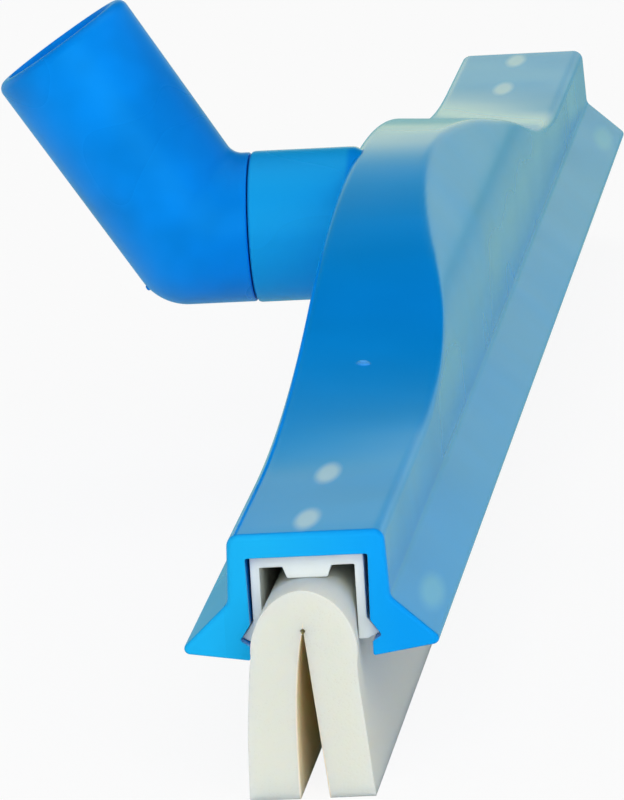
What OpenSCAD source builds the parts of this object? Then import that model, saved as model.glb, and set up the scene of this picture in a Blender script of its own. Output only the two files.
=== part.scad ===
// Revolving-neck squeegee with a double foam blade in a slide-in cassette.
// Millimetres. X runs along the blade, +Y towards the neck, +Z up.
// The origin is on the floor, under the middle of the head.

/* [Head] */
// Length of the moulded head
body_len = 600; // [540:10:800]
// Width of the head across its flat top
top_w = 28.6; // [26.6:0.2:34]
// Extra half width of the outer wall where the skirt leaves it
wall_splay = 0.4; // [0:0.05:1.5]
// Height of the head's underside above the floor
ride_height = 23.1; // [18:0.1:32]
// Radius of the long edges along the flat top
top_edge_r = 2.2; // [0.5:0.1:2.6]

/* [Channel] */
// Width of the channel that holds the cassette
channel_w = 22.1; // [20:0.1:23.5]
// Depth of the channel from the underside to its roof
channel_h = 18.6; // [16:0.2:24]
// Thickness of the wall over the channel
top_wall = 4.4; // [3:0.1:6]
// How much each channel wall closes in from the roof down to the groove
channel_taper = 0.25; // [0:0.05:0.4]
// Height of the snap groove's deepest line above the underside
groove_z = 3.7; // [3:0.1:5]
// Depth of the snap groove in the channel wall
groove_depth = 1.7; // [1:0.1:2]
// Height of the groove's sloping upper flank
groove_rise = 2.8; // [1.5:0.1:4]
// Height of the groove's lower flank
groove_fall = 1.1; // [0.5:0.1:2]

/* [Splash skirts] */
// How far each skirt reaches out from the wall
skirt_reach = 8.3; // [4:0.1:14]
// Height of the skirt's root above the underside
skirt_root_z = 11.6; // [10:0.1:13]
// Radius of the corner between the wall and the skirt
skirt_root_r = 2.2; // [1:0.1:4]
// Height of the skirt's tip above the underside
skirt_tip_z = 1.6; // [1:0.1:4]
// Radius of the skirt's rounded tip
skirt_tip_r = 1; // [0.5:0.1:1.1]

/* [Hump] */
// Height of the hump above the flat top
hump_h = 23.2; // [22.8:0.1:32]
// Distance from the middle to the hump's foot along the back edge
hump_back_half = 245; // [200:5:260]
// Distance from the middle to the turn from crest to foot along the back edge
hump_back_turn = 118; // [100:2:160]
// Distance from the middle to the hump's foot along the front ridge
hump_front_half = 205; // [150:5:230]
// Distance from the middle to the turn from crest to foot along the front ridge
hump_front_turn = 116; // [90:2:140]
// Radius of the curve by which the front face leans back
hump_front_r = 24; // [20:1:36]
// Steepness of the leaning front face in degrees
hump_front_angle = 50; // [45:1:62]
// Width of the soft ridge between the hump's top and its leaning front
hump_ridge = 2; // [1:0.5:8]
// Wall thickness of the hollow hump
hump_wall = 3.5; // [2.5:0.1:4.5]
// How far the hollow ends before the hump's foot
hollow_inset = 28; // [20:1:60]
// Thickness of the ribs inside the hump
rib_t = 2.4; // [1.5:0.1:4]
// Distance between the ribs inside the hump
rib_pitch = 44; // [36:1:60]

/* [Neck] */
// Outer radius of the fixed sleeve
sleeve_r = 15.7; // [15:0.1:18]
// Length of the sleeve behind the head
sleeve_len = 21.3; // [16:0.1:40]
// Height of the sleeve's axis above the flat top
sleeve_rise = 8.6; // [7.6:0.1:9.6]
// Bore radius of the sleeve
sleeve_bore_r = 10.6; // [10:0.05:11]
// Chamfer around the sleeve's open end
sleeve_chamfer = 1; // [0.4:0.1:2]
// Gap between the sleeve and the elbow
seam_gap = 0.3; // [0.2:0.05:0.6]

/* [Elbow] */
// Outer radius of the elbow at the seam and the bend
elbow_r = 15.5; // [15:0.1:17]
// Outer radius of the elbow at the mouth
mouth_r = 15.9; // [15.5:0.1:18]
// Distance from the seam to the bend
elbow_neck_len = 11.9; // [10:0.1:20]
// Angle of the handle socket above the sleeve's axis in degrees
elbow_angle = 57.3; // [40:0.1:62]
// Distance from the bend to the mouth
elbow_handle_len = 48.5; // [44:0.5:80]
// Radius around the mouth's outer rim
mouth_edge_r = 2; // [0.5:0.1:2.4]
// Chamfer inside the mouth
mouth_chamfer = 0.8; // [0.3:0.1:1.5]
// Radius of the handle socket
socket_r = 11.5; // [10:0.1:12.4]
// Depth of the handle socket
socket_depth = 39; // [30:0.5:40]

/* [Swivel] */
// Radial clearance of the elbow's spigot in the sleeve
swivel_clearance = 0.08; // [0.02:0.01:0.1]
// Radius of the hollow in the spigot
spigot_hollow_r = 7; // [5:0.1:7.2]
// How far that hollow runs on past the seam
spigot_hollow_past = 4; // [2:0.1:5]
// How far the spigot reaches past the inside of the hump's wall
spigot_reach = 7; // [5.5:0.1:8]
// Thickness of the retaining clip
clip_t = 2; // [1.2:0.1:2.6]
// How far the clip stands proud of the spigot
clip_reach = 1; // [0.6:0.1:1.4]
// Depth of the clip's groove in the spigot
clip_groove_depth = 1.5; // [1:0.1:2]
// Running gap between the clip and the inside of the hump's wall
clip_gap = 0.3; // [0.1:0.05:0.6]
// Radial room in which the clip turns inside the hump
clip_room = 0.5; // [0.3:0.1:1]
// Thickness of the rubber friction ring
ring_t = 2; // [1.4:0.1:2.2]
// Distance of the friction ring from the seam
ring_from_seam = 7; // [4:0.5:12]

/* [Cassette] */
// How far the cassette stays back from each end of the head
cassette_recess = 3; // [0:0.5:10]
// Side clearance between the cassette and the channel
cassette_side_gap = 0.95; // [0.3:0.05:1.4]
// Clearance between the cassette and the channel's roof
cassette_top_gap = 0.3; // [0.3:0.05:1]
// Thickness of the cassette's side walls
cassette_wall = 1.65; // [1.2:0.05:2.4]
// Thickness of the cassette's top
cassette_top = 2; // [1:0.1:2.4]
// Width of the middle rib where it joins the top
rib_top_w = 8.8; // [5:0.1:11]
// Width of the middle rib's lower face
rib_low_w = 7.3; // [4:0.1:9]
// Depth of the middle rib
rib_h = 2.1; // [1:0.1:3]
// Clearance of the barbs in the snap grooves
barb_gap = 0.35; // [0.3:0.05:0.8]

/* [Foam blade] */
// How far the foam stands out past each end of the head
foam_overhang = 12; // [0:0.5:20]
// Clearance between the folded foam and the cassette
foam_gap = 0.05; // [0.02:0.01:0.3]
// How far the rear leaf swells out below the cassette
rear_swell = 1.6; // [0:0.1:2.2]
// How far the front leaf swells out below the cassette
front_swell = 0.2; // [0:0.1:2.2]
// Height above the head's underside at which the leaves swell most
swell_rise = 1; // [0.4:0.1:2]
// Width of the rear leaf's lower edge
rear_leaf_w = 9.1; // [7:0.1:10]
// Width of the front leaf's lower edge
front_leaf_w = 8.5; // [7:0.1:10]
// Width of the open slit at the floor
slit_w = 5.4; // [2:0.1:7]
// How far the slit's middle is off the head's middle at the floor
slit_offset = -0.1; // [-1:0.1:1]
// How far the slit's upper end is off the head's middle
slit_end_offset = 0.3; // [-1:0.1:1]
// Height of the slit's upper end above the middle of the fold
slit_rise = 1.2; // [0:0.1:2]
// How far the slit bows out into the rear leaf
slit_bow = 0.9; // [0:0.1:1.5]
// Radius of the round end of the slit
slit_end_r = 0.45; // [0.3:0.05:1]

/* [Hidden] */
$fn = 96;
over = 1;                       // how far cuts run past a face
thin = 0.01;                    // least height of the hump's solid at its foot
near = 0.05;                    // play of a seated clip or ring
sleeve_root = 0.6;              // how far the sleeve starts inside the hump's wall
hump_stations = 54;             // cross-sections along the hump
hollow_stations = 24;           // cross-sections along its hollow
front_steps = 10;               // steps over the curve of the leaning front
lean_steps = 16;                // steps over the leaning front and the roof
edge_steps = 6;                 // steps over the rounded back edge

// Heights of the head
under_z = ride_height;
roof_z = under_z + channel_h;
top_z = roof_z + top_wall;
root_y = top_w / 2 + wall_splay;
channel_y = channel_w / 2;
hollow_half = hump_front_half - hollow_inset;

// Centres of the skirt's tip and of the corner above it, as [y, z], and the directions
// in which the lower face and the flank touch the tip
tip_c = [root_y + skirt_reach - skirt_tip_r, under_z + skirt_tip_z + skirt_tip_r];
root_c = [root_y + skirt_root_r, under_z + skirt_root_z];
flank_a = atan2(root_c[1] - tip_c[1], root_c[0] - tip_c[0])
    - acos((skirt_tip_r + skirt_root_r) / norm(root_c - tip_c));
lower_a = atan2(under_z - tip_c[1], channel_y - tip_c[0])
    + acos(skirt_tip_r / norm([channel_y, under_z] - tip_c));

// Sleeve, spigot and elbow
axis_z = top_z + sleeve_rise;
wall_in_y = top_w / 2 - hump_wall;      // inside of the hump's back wall
seam_y = top_w / 2 + sleeve_len;
elbow_y = seam_y + seam_gap;
bend_y = elbow_y + elbow_neck_len;
spigot_r = sleeve_bore_r - swivel_clearance;
spigot_end_y = wall_in_y - spigot_reach;
clip_y = wall_in_y - clip_gap - clip_t;
clip_groove_r = spigot_r - clip_groove_depth;
ring_y = seam_y - ring_from_seam;
ring_groove_r = sleeve_bore_r - ring_t - near;

// Cassette and foam
cassette_y = channel_y - cassette_side_gap;
cassette_len = body_len - 2 * cassette_recess;
cassette_z = roof_z - cassette_top_gap;
cassette_in_y = cassette_y - cassette_wall;
barb_z = under_z + groove_z;
foam_r = cassette_in_y - foam_gap;
foam_top_z = cassette_z - cassette_top - rib_h - foam_gap;
foam_len = body_len + 2 * foam_overhang;

// Points of an arc around (cy, cz) from angle a to angle b
function arc(cy, cz, r, a, b, steps) =
    [for (i = [0:steps]) [cy + r * cos(a + (b - a) * i / steps), cz + r * sin(a + (b - a) * i / steps)]];

function mirrored(points) = [for (i = [len(points) - 1:-1:0]) [-points[i][0], points[i][1]]];

// Extrudes an outline in Y and Z along X, centred on the middle of the head
module along_x(length) {
    rotate([90, 0, 90]) linear_extrude(length, center = true) children();
}

// Height of a bell of two arcs over the flat top, x away from the middle
function bell(x, half, turn) =
    let (fall = 2 * hump_h / half, d = abs(x))
    d <= turn ? hump_h - fall * d * d / (2 * turn)
    : d < half ? fall * (half - d) * (half - d) / (2 * (half - turn))
    : 0;

// Lower of two heights, with a soft change-over of width k
function soft_min(a, b, k) = min(a, b) - pow(max(k - abs(a - b), 0), 2) / (4 * k);

// Height of the leaning front face over a place y, for a hump made thinner by wall
front_turn_a = 90 - hump_front_angle;
function front_y(a, wall) = -top_w / 2 + hump_front_r - (hump_front_r - wall) * cos(a);
function front_z(a, wall) = top_z + (hump_front_r - wall) * sin(a);
function front_face(y, wall) =
    let (turn_y = front_y(front_turn_a, wall))
    y <= turn_y
    ? top_z + sqrt(max(0, pow(hump_front_r - wall, 2) - pow(top_w / 2 - hump_front_r + y, 2)))
    : front_z(front_turn_a, wall) + (y - turn_y) * tan(hump_front_angle);

// Height of the hump over (x, y): its roof is ruled between the back and the front bell
function roof(x, y) =
    let (t = (top_w / 2 - y) / top_w)
    top_z + (1 - t) * bell(x, hump_back_half, hump_back_turn)
    + t * bell(x, hump_front_half, hump_front_turn);

// Drop of the rounded edge, at a distance d in from the front or back plane
function edge_drop(d) = d >= top_edge_r ? 0 : top_edge_r - sqrt(pow(top_edge_r, 2) - pow(top_edge_r - max(d, 0), 2));

function hump_z(x, y, wall) =
    soft_min(roof(x, y) - wall, front_face(y, wall), hump_ridge) - edge_drop(top_w / 2 - wall - abs(y));

// Solid hump, or the hollow inside it when wall is more than 0.
// It is lofted between cross-sections, from the height low_z up.
module hump(wall, half, low_z, stations) {
    edge_y = top_w / 2 - wall;
    front = [for (i = [0:front_steps]) front_y(front_turn_a * i / front_steps, wall)];
    lean_step = (edge_y - top_edge_r - front[front_steps]) / lean_steps;
    lean = [for (i = [1:lean_steps - 1]) front[front_steps] + lean_step * i];
    back = [for (i = [0:edge_steps]) edge_y - top_edge_r * (1 - sin(90 * i / edge_steps))];
    ys = concat(front, lean, back);
    n = len(ys) + 2;
    xs = [for (i = [0:stations]) half * (2 * i / stations - 1)];
    points = [for (x = xs) each concat(
        [[x, ys[0], low_z]],
        [for (y = ys) [x, y, max(low_z + thin, hump_z(x, y, wall))]],
        [[x, ys[len(ys) - 1], low_z]])];
    sides = [for (s = [0:stations - 1]) each [for (k = [0:n - 1])
        each [[s * n + k, s * n + (k + 1) % n, (s + 1) * n + k],
              [s * n + (k + 1) % n, (s + 1) * n + (k + 1) % n, (s + 1) * n + k]]]];
    ends = [[for (k = [n - 1:-1:0]) k], [for (k = [0:n - 1]) stations * n + k]];
    polyhedron(points, concat(sides, ends), convexity = 6);
}

// Half of the head's cross-section, from the channel's roof round to the flat top
function body_side() = concat(
    [[channel_y, roof_z],
     [channel_y - channel_taper, barb_z + groove_rise],
     [channel_y + groove_depth, barb_z],
     [channel_y, barb_z - groove_fall],
     [channel_y, under_z]],
    arc(tip_c[0], tip_c[1], skirt_tip_r, lower_a, flank_a, 6),
    arc(root_c[0], root_c[1], skirt_root_r, 180 + flank_a, 180, 4),
    arc(top_w / 2 - top_edge_r, top_z - top_edge_r, top_edge_r, 2, 90, 5));

module squeegee_body() {
    color("#1590E8") difference() {
        union() {
            along_x(body_len) polygon(concat(body_side(), mirrored(body_side())));
            hump(0, hump_back_half, top_z - top_edge_r - over, hump_stations);
            translate([0, top_w / 2 - sleeve_root, axis_z]) rotate([-90, 0, 0])
                cylinder(h = sleeve_len + sleeve_root - sleeve_chamfer, r = sleeve_r);
            translate([0, seam_y - sleeve_chamfer, axis_z]) rotate([-90, 0, 0])
                cylinder(h = sleeve_chamfer, r1 = sleeve_r, r2 = sleeve_r - sleeve_chamfer);
        }
        difference() {
            hump(hump_wall, hollow_half, roof_z - over, hollow_stations);
            hump_ribs();
        }
        translate([0, wall_in_y - over, axis_z]) rotate([-90, 0, 0])
            cylinder(h = seam_y - wall_in_y + 2 * over, r = sleeve_bore_r);
        translate([0, spigot_end_y - clip_room, axis_z]) rotate([-90, 0, 0])
            cylinder(h = wall_in_y - spigot_end_y + clip_room, r = spigot_r + clip_reach + clip_room);
    }
}

module hump_ribs() {
    for (x = [rib_pitch / 2:rib_pitch:hollow_half - rib_t], side = [-1, 1])
        translate([side * x - rib_t / 2, -top_w / 2, roof_z])
            cube([rib_t, top_w, hump_h + top_wall]);
}

// Turns a part built along +Z from the bend into the direction of the handle
module to_handle() {
    translate([0, bend_y, axis_z]) rotate([elbow_angle - 90, 0, 0]) children();
}

module neck_elbow() {
    color("#0E86E4") difference() {
        union() {
            elbow_outside();
            translate([0, spigot_end_y, axis_z]) rotate([-90, 0, 0])
                cylinder(h = elbow_y + over - spigot_end_y, r = spigot_r);
        }
        spigot_cuts();
        to_handle() translate([0, 0, elbow_handle_len - socket_depth])
            cylinder(h = socket_depth + over, r = socket_r);
        to_handle() translate([0, 0, elbow_handle_len - mouth_chamfer])
            cylinder(h = mouth_chamfer, r1 = socket_r, r2 = socket_r + mouth_chamfer);
    }
}

// Both tubes and the ball between them, cut flat at the seam
module elbow_outside() {
    reach = elbow_handle_len + mouth_r;
    intersection() {
        union() {
            translate([0, elbow_y, axis_z]) rotate([-90, 0, 0]) cylinder(h = elbow_neck_len, r = elbow_r);
            translate([0, bend_y, axis_z]) sphere(r = elbow_r);
            to_handle() rotate_extrude() polygon(concat(
                [[0, 0], [elbow_r, 0]],
                arc(mouth_r - mouth_edge_r, elbow_handle_len - mouth_edge_r, mouth_edge_r, 0, 90, 4),
                [[0, elbow_handle_len]]));
        }
        translate([-mouth_r - over, elbow_y, axis_z - elbow_r - over])
            cube([2 * (mouth_r + over), elbow_neck_len + reach, 2 * mouth_r + reach]);
    }
}

// Hollow and both grooves of the spigot
module spigot_cuts() {
    translate([0, spigot_end_y - over, axis_z]) rotate([-90, 0, 0])
        cylinder(h = elbow_y + spigot_hollow_past - spigot_end_y + over, r = spigot_hollow_r);
    ring_cut(clip_y - near, clip_t + 2 * near, clip_groove_r);
    ring_cut(ring_y - ring_t / 2 - near, ring_t + 2 * near, ring_groove_r);
}

// A square groove around the spigot, from y on
module ring_cut(y, width, floor_r) {
    translate([0, y, axis_z]) rotate([-90, 0, 0]) difference() {
        cylinder(h = width, r = spigot_r + over);
        translate([0, 0, -over]) cylinder(h = width + 2 * over, r = floor_r);
    }
}

// U-shaped clip, pushed on from above
module retaining_clip() {
    clip_in_r = clip_groove_r + near;
    color("#E8EEEC") translate([0, clip_y, axis_z]) rotate([-90, 0, 0]) difference() {
        cylinder(h = clip_t, r = spigot_r + clip_reach);
        translate([0, 0, -over]) cylinder(h = clip_t + 2 * over, r = clip_in_r);
        translate([-clip_in_r, 0, -over]) cube([2 * clip_in_r, 2 * spigot_r, clip_t + 2 * over]);
    }
}

module friction_ring() {
    color("#1B1B1B") translate([0, ring_y, axis_z]) rotate([-90, 0, 0])
        rotate_extrude() translate([ring_groove_r + near / 2 + ring_t / 2, 0]) circle(r = ring_t / 2);
}

// Half of the cassette's cross-section, from the middle rib round to the top
function cassette_side() = [
    [rib_low_w / 2, cassette_z - cassette_top - rib_h],
    [rib_top_w / 2, cassette_z - cassette_top],
    [cassette_in_y, cassette_z - cassette_top],
    [cassette_in_y, barb_z - groove_fall],
    [cassette_y, barb_z - groove_fall],
    [channel_y + groove_depth - barb_gap, barb_z],
    [cassette_y, barb_z + groove_rise],
    [cassette_y, cassette_z]];

module cassette_frame() {
    color("#E8EEEC") along_x(cassette_len)
        polygon(concat(cassette_side(), mirrored(cassette_side())));
}

// The strip is folded over the middle rib, and its leaves spread towards the floor
module foam_blade() {
    arch_z = foam_top_z - foam_r;
    slit_z = arch_z + slit_rise;
    swell_z = under_z + swell_rise;
    rear_in = slit_offset + slit_w / 2;
    front_in = slit_offset - slit_w / 2;
    color("#E2E2D8") along_x(foam_len) difference() {
        polygon(concat(
            arc(0, arch_z, foam_r, 0, 180, 24),
            [[-foam_r, barb_z - groove_fall - near],
             [-foam_r - front_swell, swell_z],
             [front_in - front_leaf_w, 0],
             [rear_in + rear_leaf_w, 0],
             [foam_r + rear_swell, swell_z],
             [foam_r, barb_z - groove_fall - near]]));
        translate([slit_end_offset, slit_z]) circle(r = slit_end_r, $fn = 16);
        polygon(concat(
            [[front_in, -over]],
            [for (i = [0:6]) let (t = i / 6)
                [rear_in + (slit_end_offset - rear_in) * t + slit_bow * sin(180 * t), slit_z * t]],
            [[slit_end_offset - near, slit_z]]));
    }
}

squeegee_body();
neck_elbow();
retaining_clip();
friction_ring();
cassette_frame();
foam_blade();
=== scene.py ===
"""Looks of a revolving-neck squeegee with a double foam blade in a slide-in cassette."""

from functools import partial
from math import acos, atan2, cos, hypot, pi, radians, sin, sqrt, tan

import bmesh
import bpy
import numpy as np
from bpy.props import FloatProperty, FloatVectorProperty, IntProperty, PointerProperty
from mathutils import Matrix, Vector


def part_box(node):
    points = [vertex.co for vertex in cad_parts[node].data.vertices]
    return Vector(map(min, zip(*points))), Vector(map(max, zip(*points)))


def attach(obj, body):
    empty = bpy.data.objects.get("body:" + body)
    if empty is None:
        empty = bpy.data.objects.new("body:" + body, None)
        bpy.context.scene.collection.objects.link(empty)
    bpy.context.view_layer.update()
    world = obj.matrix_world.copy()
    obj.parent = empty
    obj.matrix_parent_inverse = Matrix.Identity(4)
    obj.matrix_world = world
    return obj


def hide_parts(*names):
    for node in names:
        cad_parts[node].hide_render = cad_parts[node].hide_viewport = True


bl_info = {
    "name": "Revolving-neck squeegee",
    "version": (1, 0, 0),
    "blender": (4, 5, 0),
    "location": "3D View > Sidebar > Squeegee",
    "description": "Builds a moulded squeegee head, its swivel elbow, its cassette and its foam blade",
    "category": "Add Mesh",
}

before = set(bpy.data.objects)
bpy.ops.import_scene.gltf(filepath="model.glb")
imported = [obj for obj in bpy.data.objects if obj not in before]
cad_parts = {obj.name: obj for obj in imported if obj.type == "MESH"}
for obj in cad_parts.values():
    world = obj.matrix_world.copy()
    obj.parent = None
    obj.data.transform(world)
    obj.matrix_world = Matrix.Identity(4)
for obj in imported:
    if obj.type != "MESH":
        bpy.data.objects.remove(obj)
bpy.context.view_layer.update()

MM = 0.001
HEAD_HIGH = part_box("squeegee_body")[1]
CASSETTE_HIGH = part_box("cassette_frame")[1]
FOAM_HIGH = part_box("foam_blade")[1]

# Half sizes of the frosted marks that the mould's pins leave and of the painted reflection on the skirts,
# and how strongly each shows
PIN_MARK = (9 * MM, 2 * MM, 1 * MM)
PIN_SHARE = 0.8
SKIRT_MARK = (14 * MM, 2.4 * MM, 2.6 * MM)
SKIRT_SHARE = 0.45
GATE_SHARE = 0.4
# How far out the painted reflection on the skirts is, as a share of the skirts' reach, and how much
# wider than its ring the pale patch around a gate is
SKIRT_OUT = 0.62
GATE_HALO = 0.3 * MM
# How much of the painted light's lighter blue the sleeve takes as a painted highlight, and how much duller
# it is
SLEEVE_SHARE = 0.7
SLEEVE_DULLER = 0.12
# What the moulded plastic's gloss keeps of red, green and blue light
GLOSS_TINT = (0.05, 0.8, 1.0, 1.0)
# How brightly the floor glows for the camera, for gloss and for what is seen through,
# and how bright the white past the floor is for the camera
FLOOR_GLOW = (("Is Camera Ray", 0.9), ("Is Glossy Ray", 0.7), ("Is Transmission Ray", 0.95))
PAST_FLOOR = 0.95

# Soft square lamps, as a name, a place and a side
LAMPS = (
    ("key", (-1.8, -0.3, 0.65), 1.6),
    ("fill", (-0.8, -1.6, 0.7), 1.4),
    ("side", (-1.0, 1.5, 0.45), 1.3),
    ("back", (1.5, 1.3, 0.6), 1.5),
    ("top", (0.1, -0.4, 1.8), 2.6),
)


# Property helpers and property groups


def length(name, description, mm):
    """A length property; its default is given in millimetres."""
    return FloatProperty(name=name, description=description, default=mm * MM, unit="LENGTH", precision=5)


def angle(name, description, degrees):
    """An angle property; its default is given in degrees."""
    turn = radians(degrees)
    return FloatProperty(name=name, description=description, default=turn, unit="ROTATION", subtype="ANGLE")


def number(name, description, default, **limits):
    """A plain number, with a unit or limits where it has them."""
    return FloatProperty(name=name, description=description, default=default, **limits)


def linear(code):
    """Turns an sRGB hex code into a linear colour with full alpha."""
    channels = [int(code[i : i + 2], 16) / 255 for i in (1, 3, 5)]
    return (*((c / 12.92 if c <= 0.04045 else ((c + 0.055) / 1.055) ** 2.4) for c in channels), 1.0)


def colour(name, description, code):
    """A colour property; its default is an sRGB hex code."""
    return FloatVectorProperty(
        name=name, description=description, default=linear(code), size=4, min=0, max=1, subtype="COLOR"
    )


class HeadSizes(bpy.types.PropertyGroup):
    """Sizes of the moulded head."""

    half_length: length("Half length", "Half of the head's length", HEAD_HIGH.x / MM)
    top_width: length("Top width", "Width across the flat top", 28.6)
    wall_splay: length("Wall splay", "How much wider each wall is where the skirt leaves it", 0.4)
    under_z: length("Underside height", "Height of the underside over the floor", 23.1)
    edge_radius: length("Edge radius", "Radius of the long edges along the top", 2.2)
    end_radius: length("End radius", "Radius around the outline of each end face", 1.1)
    tip_end_radius: length("Tip end radius", "Radius at the ends of the skirts' tips", 0.7)
    channel_end_radius: length("Channel end radius", "Radius at the ends of the channel's edges", 0.2)
    channel_width: length("Channel width", "Width of the cassette's channel", 22.1)
    channel_height: length("Channel height", "Depth of the cassette's channel", 18.6)
    top_wall: length("Top wall", "Wall over the channel", 4.4)
    channel_corner: length("Channel corner", "Radius in the channel's corners", 0.4)
    wall_taper: length("Wall taper", "How much the channel narrows down to the groove", 0.25)
    groove_height: length("Groove height", "Height of the snap groove over the underside", 3.7)
    groove_depth: length("Groove depth", "Depth of the snap groove", 1.7)
    groove_rise: length("Groove rise", "Height of the groove's upper flank", 2.8)
    groove_fall: length("Groove fall", "Height of the groove's lower flank", 1.1)
    skirt_reach: length("Skirt reach", "How far each splash skirt reaches out", 8.3)
    skirt_root: length("Skirt root", "Height of the corner's centre over the underside", 11.6)
    skirt_root_radius: length("Skirt root radius", "Radius in the corner over the skirt", 2.2)
    skirt_tip: length("Skirt tip", "Height of the skirt's tip over the underside", 1.6)
    skirt_tip_radius: length("Skirt tip radius", "Radius of the skirt's tip", 1.0)
    outer_mark: length("Outer mark", "From the middle to the outer frosted marks", 287)
    inner_mark: length("Inner mark", "From the middle to the inner frosted marks", 242)
    mark_side: length("Mark side", "How far the frosted marks are from the middle plane", 0.6)
    # Place and height of the painted reflection on the skirts
    skirt_mark: length("Skirt mark", "From the middle to the frosted marks on the skirt", 272)
    skirt_mark_z: length("Skirt mark height", "Height of those marks over the underside", 5.2)
    # How softly every mark ends, the painted reflection on the skirts too
    mark_spread: number("Mark softness", "How softly the frosted marks end", 0.45, min=0, max=1)
    gate_place: length("Gate place", "From the middle to the ring left by each mould gate", 153)
    gate_side: length("Gate side", "How far that ring is from the middle plane", 0.9)
    gate_radius: length("Gate radius", "Radius of that ring", 0.95)
    gate_tube: length("Gate tube", "Radius of that ring's round edge", 0.36)


class HumpSizes(bpy.types.PropertyGroup):
    """Sizes of the hump over the neck."""

    height: length("Height", "Height over the flat top", 23.2)
    back_half: length("Back half", "From the middle to the foot, at the back", 245)
    back_turn: length("Back turn", "From the middle to the turn of the curve, at the back", 118)
    front_half: length("Front half", "From the middle to the foot, at the front", 205)
    front_turn: length("Front turn", "From the middle to the turn of the curve, at the front", 116)
    front_radius: length("Front radius", "Radius by which the front face leans back", 24)
    front_angle: angle("Front angle", "Steepness of the leaning front face", 50)
    ridge: length("Ridge", "Width of the soft ridge over the front face", 0.8)
    wall: length("Wall", "Wall thickness of the hollow hump", 3.5)
    hollow_half: length("Hollow half", "From the middle to the end of the hollow", 177)
    rib_thickness: length("Rib thickness", "Thickness of the ribs in the hollow", 2.4)
    rib_pitch: length("Rib pitch", "Distance between the ribs", 44)
    rib_count: IntProperty(name="Ribs", description="Number of ribs in the hollow", default=8, min=2)


class NeckSizes(bpy.types.PropertyGroup):
    """Sizes of the sleeve, the spigot and the elbow."""

    axis_z: length("Axis height", "Height of the swivel's axis over the floor", 54.7)
    sleeve_radius: length("Sleeve radius", "Outer radius of the fixed sleeve", 15.7)
    sleeve_length: length("Sleeve length", "Length of the sleeve behind the head", 21.3)
    sleeve_bore: length("Sleeve bore", "Bore radius of the sleeve", 10.6)
    sleeve_chamfer: length("Sleeve chamfer", "Chamfer at the open end of the sleeve", 0.8)
    sleeve_root: length("Sleeve root", "How far the sleeve runs into the hump's roof", 2)
    sleeve_dip: length("Sleeve dip", "How much slimmer the sleeve is where it leaves the roof", 0.8)
    clip_room: length("Clip room", "Radius of the room in which the clip turns", 12.02)
    clip_play: length("Clip play", "How far that room runs past the spigot's end", 0.5)
    seam_gap: length("Seam gap", "Gap between the sleeve and the elbow", 0.3)
    spigot_radius: length("Spigot radius", "Radius of the elbow's spigot", 10.52)
    spigot_end: length("Spigot end", "Place of the spigot's inner end", 3.8)
    spigot_edge: length("Spigot edge", "Chamfer around the spigot's inner end", 0.3)
    spigot_hollow: length("Spigot hollow", "Radius of the spigot's hollow", 7.0)
    spigot_past: length("Hollow past the seam", "How far that hollow runs on past the seam", 4)
    clip_start: length("Clip groove", "Place of the clip's groove", 8.45)
    clip_floor: length("Clip groove floor", "Radius of the clip groove's floor", 9.02)
    ring_start: length("Ring groove", "Place of the friction ring's groove", 27.55)
    ring_floor: length("Ring groove floor", "Radius of the ring groove's floor", 8.55)
    groove_width: length("Groove width", "Width of both grooves", 2.1)
    elbow_radius: length("Elbow radius", "Outer radius at the seam and the bend", 15.5)
    mouth_radius: length("Mouth radius", "Outer radius at the mouth", 15.9)
    neck_length: length("Neck length", "From the seam to the bend", 11.9)
    handle_length: length("Handle length", "From the bend to the mouth", 48.5)
    elbow_angle: angle("Elbow angle", "Angle of the socket over the swivel's axis", 57.3)
    bend_radius: length("Bend radius", "Radius of the bend at the elbow's sides", 7.6)
    bend_spread: length("Bend spread", "How much the bend is wider outside and tighter inside", 4.0)
    mouth_edge: length("Mouth edge", "Radius around the mouth's rim", 2.0)
    seam_edge: length("Seam edge", "Radius of the elbow's edge at the seam", 0.35)
    gate_along: length("Gate place", "From the bend to the stub left by the mould's gate", -4)
    gate_radius: length("Gate radius", "Radius of that stub at its foot", 0.8)
    mouth_chamfer: length("Mouth chamfer", "Chamfer inside the mouth", 0.8)
    socket_radius: length("Socket radius", "Clear radius of the pole's socket", 11.5)
    socket_depth: length("Socket depth", "Depth of the pole's socket", 39)
    socket_plain: length("Plain socket", "Length of the plain bore under the thread", 4.5)
    thread_depth: length("Thread depth", "Depth of the socket's thread", 1.1)
    thread_pitch: length("Thread pitch", "Pitch of the socket's thread", 5.0)
    thread_start: length("Thread start", "From the mouth down to the thread", 3)
    thread_turns: number("Thread turns", "Turns of the socket's thread", 5.5, min=1)


class CassetteSizes(bpy.types.PropertyGroup):
    """Sizes of the slide-in cassette."""

    half_length: length("Half length", "Half of the cassette's length", CASSETTE_HIGH.x / MM)
    top_z: length("Top height", "Height of the cassette's top over the floor", 41.4)
    half_width: length("Half width", "Half of the cassette's width", 10.25)
    wall: length("Wall", "Thickness of the side walls", 1.65)
    top: length("Top", "Thickness of the top", 2.0)
    rib_top: length("Rib top", "Width of the middle rib at the top", 8.8)
    rib_low: length("Rib low", "Width of the middle rib's lower face", 7.3)
    rib_height: length("Rib height", "Depth of the middle rib", 2.1)
    barb_z: length("Barb height", "Height of the barbs over the floor", 26.8)
    barb_half: length("Barb half width", "Half of the width across the barbs", 12.4)
    edge: length("Edge", "Radius of the extruded edges", 0.22)
    side_play: length("Side play", "How far the cassette sits towards the neck in its channel", 0.25)


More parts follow.
